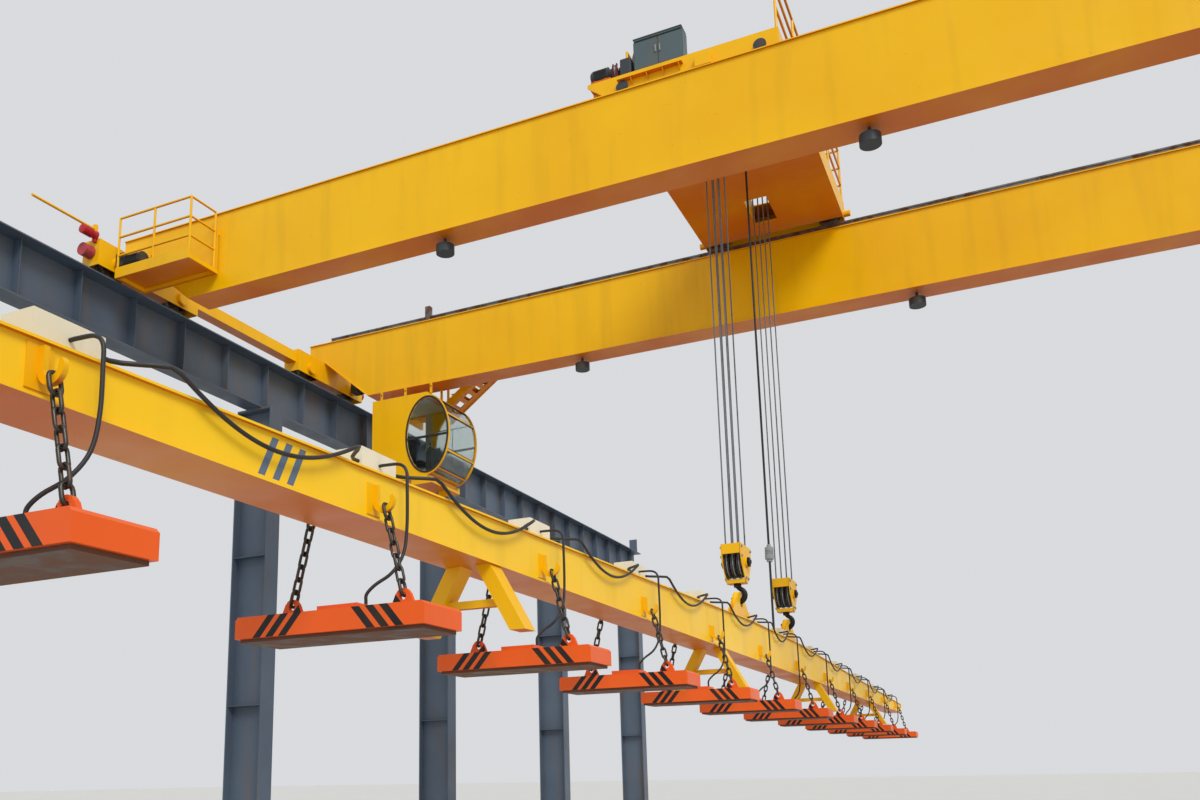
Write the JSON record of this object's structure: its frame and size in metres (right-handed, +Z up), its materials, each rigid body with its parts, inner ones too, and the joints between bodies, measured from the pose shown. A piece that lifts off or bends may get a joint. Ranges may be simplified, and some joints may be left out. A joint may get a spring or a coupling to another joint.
{
  "type": "overhead travelling crane",
  "caption": "Double-girder overhead travelling crane with driver's cab, crab and hung magnet beam, on an elevated runway of steel columns.",
  "frame": {"origin": "floor level, in the middle of the runway's two column rows", "axes": "+X across the hall, +Y along the runway away from the picture's viewpoint, +Z up"},
  "size_m": [29.6, 39, 13.421],
  "materials": {
    "crane_paint": "gloss paint",
    "runway_paint": "satin paint",
    "rail_steel": "rolled and worn bright",
    "wheel_steel": "machined",
    "drive_paint": "satin paint",
    "buffer_rubber": "cellular rubber",
    "signal_red": "gloss paint",
    "cab_glass": "tinted glass",
    "seat_plastic": "matt",
    "lamp_grey": "satin paint",
    "cabinet_grey": "satin paint",
    "rope_steel": "greased wire rope",
    "cable_rubber": "matt",
    "hook_black": "forged, painted black",
    "chain_steel": "dark steel",
    "magnet_paint": "gloss paint",
    "sole_steel": "rust brown",
    "box_cream": "satin paint"
  },
  "bodies": {
    "runway": {"columns_left": "runway_paint", "columns_right": "runway_paint", "runway_girder_left": "runway_paint", "runway_girder_right": "runway_paint", "runway_rail_left": "rail_steel", "runway_rail_right": "rail_steel"},
    "bridge": {"girder_front": "crane_paint", "girder_rear": "crane_paint", "crab_rails": "rail_steel", "end_carriage_left": "crane_paint", "end_carriage_right": "crane_paint", "service_platforms": "crane_paint", "platform_railings": "crane_paint", "rear_walkway": "crane_paint", "rear_railing": "crane_paint", "travel_drives": "drive_paint", "buffers": "buffer_rubber", "siren": "signal_red", "cab_body": "crane_paint", "cab_glass": "cab_glass", "cab_seat": "seat_plastic", "cab_stair": "crane_paint", "lamps": "lamp_grey"},
    "wheels_1": {"bridge_wheels_1": "wheel_steel"},
    "wheels_2": {"bridge_wheels_2": "wheel_steel"},
    "wheels_3": {"bridge_wheels_3": "wheel_steel"},
    "wheels_4": {"bridge_wheels_4": "wheel_steel"},
    "crab": {"crab_frame": "crane_paint", "crab_railing": "crane_paint", "hoist_drums": "wheel_steel", "hoist_drives": "drive_paint", "upper_sheaves": "wheel_steel", "crab_cabinet": "cabinet_grey", "crab_travel_drive": "drive_paint", "hoist_ropes": "rope_steel", "power_cable": "cable_rubber"},
    "crab_axle_left": {"crab_wheels_left": "wheel_steel"},
    "crab_axle_right": {"crab_wheels_right": "wheel_steel"},
    "load": {"hook_blocks": "crane_paint", "block_sheaves": "wheel_steel", "lifting_hooks": "hook_black", "load_beam": "crane_paint", "beam_legs": "crane_paint", "chain_hooks": "crane_paint", "magnet_chains": "chain_steel", "magnets": "magnet_paint", "magnet_soles": "sole_steel", "junction_boxes": "box_cream", "trunk_cable": "cable_rubber", "magnet_cables": "cable_rubber"}
  },
  "joints": [
    {"name": "bridge_travel", "type": "slide", "parent": "runway", "child": "bridge", "axis": [0, 1, 0], "range_m": [-10.8, 19.5]},
    {"name": "wheels_1_roll", "type": "hinge", "parent": "bridge", "child": "wheels_1", "pos_m": [0, -8, 10.9203], "axis": [1, 0, 0], "range_deg": [-4480, 2490]},
    {"name": "wheels_2_roll", "type": "hinge", "parent": "bridge", "child": "wheels_2", "pos_m": [0, -6.4, 10.9203], "axis": [1, 0, 0], "range_deg": [-4480, 2490]},
    {"name": "wheels_3_roll", "type": "hinge", "parent": "bridge", "child": "wheels_3", "pos_m": [0, -2.3, 10.9203], "axis": [1, 0, 0], "range_deg": [-4480, 2490]},
    {"name": "wheels_4_roll", "type": "hinge", "parent": "bridge", "child": "wheels_4", "pos_m": [0, -0.7, 10.9203], "axis": [1, 0, 0], "range_deg": [-4480, 2490]},
    {"name": "crab_travel", "type": "slide", "parent": "bridge", "child": "crab", "axis": [1, 0, 0], "range_m": [-6.2, 14.9]},
    {"name": "crab_left_roll", "type": "hinge", "parent": "crab", "child": "crab_axle_left", "pos_m": [-4.475, -4.35, 12.0603], "axis": [0, 1, 0], "range_deg": [-1790, 4280]},
    {"name": "crab_right_roll", "type": "hinge", "parent": "crab", "child": "crab_axle_right", "pos_m": [-2.325, -4.35, 12.0603], "axis": [0, 1, 0], "range_deg": [-1790, 4280]},
    {"name": "hoist", "type": "slide", "parent": "crab", "child": "load", "axis": [0, 0, 1], "range_m": [0, 5.5], "deforming": ["hoist_ropes", "power_cable"]}
  ],
  "couplings": [
    {"joint": "wheels_1_roll", "follows": "bridge_travel", "rad_per_m": -4},
    {"joint": "wheels_2_roll", "follows": "bridge_travel", "rad_per_m": -4},
    {"joint": "wheels_3_roll", "follows": "bridge_travel", "rad_per_m": -4},
    {"joint": "wheels_4_roll", "follows": "bridge_travel", "rad_per_m": -4},
    {"joint": "crab_left_roll", "follows": "crab_travel", "rad_per_m": 5},
    {"joint": "crab_right_roll", "follows": "crab_travel", "rad_per_m": 5}
  ]
}
